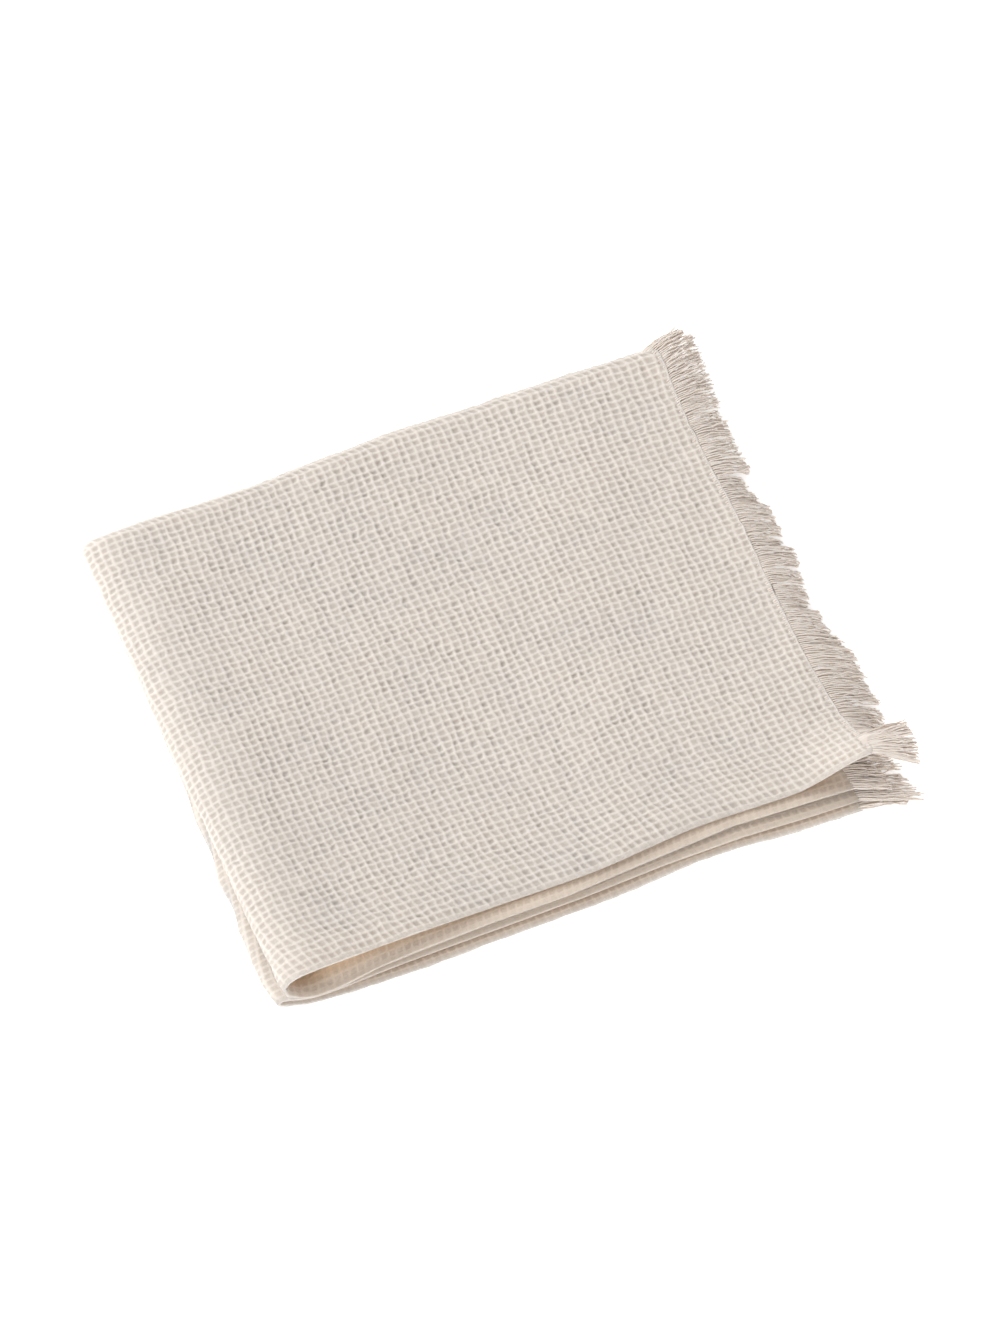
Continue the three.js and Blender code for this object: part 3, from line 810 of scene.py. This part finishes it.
TOP_LOCKS = {
    "end": [
        -0.957, -0.935, -0.905, -0.86, -0.8, -0.755, -0.722, -0.69, -0.665, -0.632, -0.605,
        -0.575, -0.54, -0.492, -0.468, -0.43, -0.393, -0.36, -0.327, -0.29, -0.247, -0.215,
        -0.187, -0.15, -0.112, -0.075, -0.04, -0.012,
    ],
    "long": [
        25, 28, 29, 29, 30.3, 31, 32, 29, 26.5, 25.5, 22.4, 24.2, 25.2, 26.7, 23.8, 25.6, 26.2,
        22.8, 21.3, 25.4, 24.7, 25.2, 23.5, 25.6, 25.8, 26.8, 27, 25,
    ],
}
print("locks of the top fringe:", len(TOP_LOCKS["end"]))

# %% [markdown]
# A guide is a bent line for each strand. It starts inside the cloth's end, comes up out of it and droops to
# its tip. Every third strand lies on top of the others and stands out a little; it gets a pale tone, painted
# light, and the strands between get darker ones, painted shade. Strands of one lock share their lean and
# their length and draw together at the tip.

# %% Guides
WIDTH_IN_MM = 265.0
STRAND_SPACING = 0.4
END_INSET = 0.002
CORNER_STRANDS = 60
LOCK_WIDTHS = (7.0, 16.0)
UNEVEN_LOCKS = {"length": 0.08, "lean": {"top": 0.8, "others": 1.6}, "gather": (0.05, 0.2)}
UNEVEN_STRANDS = {"length": 0.02, "lean": 1.0}
ROOT_INSIDE = 2.4
ROOT_DEPTH = 0.5
RISEN_AT = 0.12
STRANDS_UP = 3
RISE = {"up": 1.25, "between": (-0.1, 1.0)}
TIP = {"up": 0.8, "between": (-0.5, 0.5)}
# Painted light and shade: pale tones for the strands on top, dark ones for the strands between them, and a
# paler tone for the lower fringes.
STRAND_TONE_AND_SHADE = {"up": (0.7, 1), "between": (0, 0.5), "under_fringes": 0.35}
DROOP = 1.7
LEAST_REACH = 0.6
GUIDE_POINTS = 10


def lock_edges(start, stop, random):
    edges = [start]
    while edges[-1] < stop:
        edges.append(edges[-1] + random.uniform(*LOCK_WIDTHS) / WIDTH_IN_MM)
    edges[-1] = stop
    return np.array(edges)


def fringe_guides(edge, random):
    """Points of every strand's guide, as strands by points by three, in mm, and their tones."""
    is_top = edge["leans"] == "top"
    count = int((edge["to"] - edge["from"]) * WIDTH_IN_MM / STRAND_SPACING)
    b = np.linspace(edge["from"] + END_INSET, edge["to"] - END_INSET, count)
    edges = lock_edges(edge["from"], edge["to"], random)
    if is_top:
        corner = np.linspace(edge["from"] + END_INSET, TOP_LOCKS["end"][0], CORNER_STRANDS)
        b = np.concatenate([b, corner])
        count = len(b)
        edges = np.array([edge["from"]] + TOP_LOCKS["end"])
    lock = np.clip(np.searchsorted(edges, b) - 1, 0, len(edges) - 2)
    middle_of_lock = (edges[lock] + edges[lock + 1]) / 2
    lock_length = 1 + UNEVEN_LOCKS["length"] * random.normal(size=len(edges))[lock]
    lock_lean = UNEVEN_LOCKS["lean"][edge["leans"]] * random.normal(size=len(edges))[lock]
    lock_gather = random.uniform(*UNEVEN_LOCKS["gather"], size=len(edges))[lock]

    q, _, _ = place_of(b)
    length = edge["long"] * read(LEANS, "q", edge["leans"] + "_share", q) * lock_length
    if is_top:
        length = np.array(TOP_LOCKS["long"])[lock]
    length = length * (1 + UNEVEN_STRANDS["length"] * random.normal(size=count))
    strand_lean = UNEVEN_STRANDS["lean"] * random.normal(size=count)
    lean = np.radians(read(LEANS, "q", edge["leans"], q) + lock_lean + strand_lean)

    root = leaf_points(edge["leaf"], b, fringed_end(edge["leaf"], b) - ROOT_INSIDE)
    root[:, 2] -= ROOT_DEPTH
    up = np.arange(count) % STRANDS_UP == 0
    rise = np.where(up, RISE["up"], random.uniform(*RISE["between"], size=count)) + ROOT_DEPTH
    raised = read(LEANS, "q", "raise", q) if is_top else 0
    tip = edge["tip"] + raised + np.where(up, TIP["up"], random.uniform(*TIP["between"], size=count))
    drop = root[:, 2] + rise - tip
    reach = np.sqrt(np.maximum(length ** 2 - drop ** 2, (LEAST_REACH * length) ** 2))
    aside = (middle_of_lock - b) * WIDTH_IN_MM * np.sign(-b) * lock_gather

    t = np.linspace(0, 1, GUIDE_POINTS)[None, :]
    x = root[:, :1] + (reach * np.cos(lean))[:, None] * t
    y = root[:, 1:2] - (reach * np.sin(lean))[:, None] * t + aside[:, None] * ease(t) ** 2
    z = root[:, 2:] + rise[:, None] * ease(t / RISEN_AT) - drop[:, None] * t ** DROOP
    # Painted light and shade: pale tones for the strands on top, dark ones for the strands between.
    up_tone = random.uniform(*STRAND_TONE_AND_SHADE["up"], size=count)
    tone = np.where(up, up_tone, random.uniform(*STRAND_TONE_AND_SHADE["between"], size=count))
    # Painted light on the lower fringes, which lie in shade.
    if not is_top:
        tone += STRAND_TONE_AND_SHADE["under_fringes"]
    return np.stack([x, y, z], axis=-1), tone


print("strands for each 10 mm of fringe:", round(10 / STRAND_SPACING))

# %% The guides' mesh
def guide_mesh(name, guides, tone):
    strands, steps, _ = guides.shape
    number = np.arange(strands * steps).reshape(strands, steps)
    edges = np.stack([number[:, :-1].ravel(), number[:, 1:].ravel()], axis=-1)
    mesh = bpy.data.meshes.new(name)
    mesh.from_pydata(in_metres(guides.reshape(-1, 3)).tolist(), edges.tolist(), [])
    layer = mesh.attributes.new("strand_tone_and_shade", "FLOAT", "POINT")
    layer.data.foreach_set("value", np.repeat(tone, steps).astype(np.float32))
    return mesh


print("points on each guide:", GUIDE_POINTS)

# %% [markdown]
# Geometry Nodes turn every guide into a wavy yarn. The tree bends each guide with a smooth noise,
# whose strength grows from the root to the tip, and keeps it above the surface. Then it sweeps a
# small five-sided ring along it, and stores how far along and how far round each point is, for
# the twist in the material. The yarn gets a little thinner towards its tip.

# %% Yarn tree: its inputs
STRAND_RADIUS = 0.38
YARN_INPUTS = {
    "Yarn radius": STRAND_RADIUS * MM,
    "Wave height": 4.2 * MM,
    "Wave length": 7 * MM,
    "Lowest": 0.4 * MM,
    "Seed": 1.0,
}

yarn_tree = bpy.data.node_groups.new("wavy_yarns", "GeometryNodeTree")
yarn_tree.interface.new_socket("Geometry", in_out="INPUT", socket_type="NodeSocketGeometry")
yarn_tree.interface.new_socket("Geometry", in_out="OUTPUT", socket_type="NodeSocketGeometry")
yarn_sockets = {}
for name, value in YARN_INPUTS.items():
    socket = yarn_tree.interface.new_socket(name, in_out="INPUT", socket_type="NodeSocketFloat")
    socket.default_value = value
    yarn_sockets[name] = socket.identifier
group_in = yarn_tree.nodes.new("NodeGroupInput").outputs
print("inputs of the tree:", ", ".join(yarn_sockets))

# %% Yarn tree: the wave
YARN_POINTS = 14
WAVE_APART = 0.9
WAVE_GROWTH = 0.5

curves = add_node(yarn_tree, "GeometryNodeMeshToCurve", Mesh=group_in["Geometry"])
curves = add_node(yarn_tree, "GeometryNodeResampleCurve", Curve=curves, Count=YARN_POINTS)
position = add_node(yarn_tree, "GeometryNodeInputPosition")
parameter = add_node(yarn_tree, "GeometryNodeSplineParameter").outputs
tone_read = add_node(
    yarn_tree, "GeometryNodeInputNamedAttribute", {"data_type": "FLOAT"}, Name="strand_tone_and_shade",
)
frequency = add_node(yarn_tree, "ShaderNodeMath", {"operation": "DIVIDE"}, _0=1.0, _1=group_in["Wave length"])
apart = add_node(
    yarn_tree, "ShaderNodeMath", MULTIPLY_ADD, _0=tone_read, _1=WAVE_APART, _2=group_in["Seed"],
)
wave = add_node(
    yarn_tree, "ShaderNodeTexNoise", {"noise_dimensions": "4D"},
    Vector=position, W=apart, Scale=frequency, Detail=1.0,
)
centred = add_node(
    yarn_tree, "ShaderNodeVectorMath", SUBTRACT, _0=wave.outputs["Color"], _1=(0.5, 0.5, 0.5),
)
growth = add_node(
    yarn_tree, "ShaderNodeMath", {"operation": "POWER"}, _0=parameter["Factor"], _1=WAVE_GROWTH,
)
strength = add_node(yarn_tree, "ShaderNodeMath", MULTIPLY, _0=growth, _1=group_in["Wave height"])
bend = add_node(yarn_tree, "ShaderNodeVectorMath", {"operation": "SCALE"}, _0=centred, Scale=strength)
waved = add_node(yarn_tree, "GeometryNodeSetPosition", Geometry=curves, Offset=bend)
xyz = add_node(yarn_tree, "ShaderNodeSeparateXYZ", Vector=position).outputs
above = add_node(yarn_tree, "ShaderNodeMath", MAXIMUM, _0=xyz["Z"], _1=group_in["Lowest"])
held_up = add_node(yarn_tree, "ShaderNodeCombineXYZ", X=xyz["X"], Y=xyz["Y"], Z=above)
raised = add_node(yarn_tree, "GeometryNodeSetPosition", Geometry=waved, Position=held_up)
print("points on each yarn:", YARN_POINTS)

# %% Yarn tree: the thickness
RING_SIDES = 5
NARROWING = 0.15
STORE_VALUE = {"data_type": "FLOAT", "domain": "POINT"}

along_value = add_node(yarn_tree, "ShaderNodeMath", {"operation": "DIVIDE"}, _0=parameter["Length"], _1=MM)
marked = add_node(
    yarn_tree, "GeometryNodeStoreNamedAttribute", STORE_VALUE,
    Geometry=raised, Name="along_mm", Value=along_value,
)
narrowed = add_node(
    yarn_tree, "ShaderNodeMath", MULTIPLY_ADD, _0=parameter["Factor"], _1=-NARROWING, _2=1.0,
)
radius = add_node(yarn_tree, "ShaderNodeMath", MULTIPLY, _0=narrowed, _1=group_in["Yarn radius"])
ring = add_node(yarn_tree, "GeometryNodeCurvePrimitiveCircle", Resolution=RING_SIDES, Radius=1.0)
ring_marked = add_node(
    yarn_tree, "GeometryNodeStoreNamedAttribute", STORE_VALUE,
    Geometry=ring, Name="round", Value=parameter["Factor"],
)
swept = add_node(
    yarn_tree, "GeometryNodeCurveToMesh", Curve=marked, Profile_Curve=ring_marked, Scale=radius,
    Fill_Caps=True,
)
smooth = add_node(yarn_tree, "GeometryNodeSetShadeSmooth", Geometry=swept)
realized = add_node(yarn_tree, "GeometryNodeRealizeInstances", Geometry=smooth)
finished = add_node(yarn_tree, "GeometryNodeSetMaterial", Geometry=realized, Material=yarn)
add_node(yarn_tree, "NodeGroupOutput", Geometry=finished)
print("node tree:", len(yarn_tree.nodes), "nodes")

# %% [markdown]
# Each fringe has a seed of its own. The tree's result becomes a plain mesh, and the guides go.

# %% Fringe pieces
FIRST_SEED = 20

fringes = []
for number, edge in enumerate(FRINGES):
    guides, tone = fringe_guides(edge, np.random.default_rng(FIRST_SEED + number))
    guide = add_object(edge["name"] + "_guides", guide_mesh(edge["name"] + "_guides", guides, tone))
    modifier = guide.modifiers.new("yarns", "NODES")
    modifier.node_group = yarn_tree
    modifier[yarn_sockets["Seed"]] = YARN_INPUTS["Seed"] + number
    depsgraph = bpy.context.evaluated_depsgraph_get()
    mesh = bpy.data.meshes.new_from_object(
        guide.evaluated_get(depsgraph), preserve_all_data_layers=True, depsgraph=depsgraph,
    )
    guide.modifiers.remove(modifier)
    bpy.data.objects.remove(guide)
    mesh.name = edge["name"] + "_yarns"
    fringes.append(add_object(mesh.name, mesh))
    triangles = sum(len(face.vertices) - 2 for face in mesh.polygons)
    print(mesh.name, len(guides), "strands", triangles, "triangles")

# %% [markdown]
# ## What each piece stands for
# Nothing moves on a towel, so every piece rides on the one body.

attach(towel, "root")
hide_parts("towel")
for fringe, edge in zip(fringes, FRINGES):
    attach(fringe, "root")
    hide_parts(edge["name"])

# %% [markdown]
# ## Floor and light
# The photograph has a white floor without a visible shadow, and a very soft light, a little
# stronger from the back left. The floor glows faintly, so that it stays white next to the towel.
# A white sky gives the soft part of the light, one large area light at the back left its
# direction, and a weaker one at the front lightens the edges of the layers.

# %% Floor
FLOOR_SIZE = 14.0
FLOOR_COLOUR = "#f9f9f9"
FLOOR_GLOW = 0.45
WHITE = (1.0, 1.0, 1.0, 1.0)

side = FLOOR_SIZE / 2
corners = [(-side, -side, 0), (side, -side, 0), (side, side, 0), (-side, side, 0)]
floor_mesh = bpy.data.meshes.new("floor")
floor_mesh.from_pydata(corners, [], [(0, 1, 2, 3)])
floor = add_object("floor", floor_mesh)
paper, _, _ = new_material(
    "matte_white_paper",
    Base_Color=linear(FLOOR_COLOUR),
    Roughness=0.9,
    Specular_IOR_Level=0.1,
    Emission_Color=WHITE,
    Emission_Strength=FLOOR_GLOW,
)
floor_mesh.materials.append(paper)
print("material:", paper.name)

# %% Light
SKY_STRENGTH = 0.6
AREA_LIGHTS = {
    "key": {"power": 165.0, "size": 3.2, "place": Vector((-2.9, 1.9, 2.9))},
    "fill": {"power": 68.0, "size": 3.0, "place": Vector((1.4, -4.0, 1.6))},
}

world = bpy.data.worlds.new("studio")
world.use_nodes = True
world.node_tree.nodes["Background"].inputs["Color"].default_value = WHITE
world.node_tree.nodes["Background"].inputs["Strength"].default_value = SKY_STRENGTH
bpy.context.scene.world = world
for name, settings in AREA_LIGHTS.items():
    light_data = bpy.data.lights.new(name, "AREA")
    light_data.shape = "DISK"
    light_data.size = settings["size"]
    light_data.energy = settings["power"]
    light = add_object(name, light_data)
    light.location = settings["place"]
    light.rotation_euler = (-settings["place"]).to_track_quat("-Z", "Y").to_euler()
    light.visible_camera = False
bpy.context.scene.view_settings.view_transform = "Standard"
print("area lights:", ", ".join(AREA_LIGHTS))
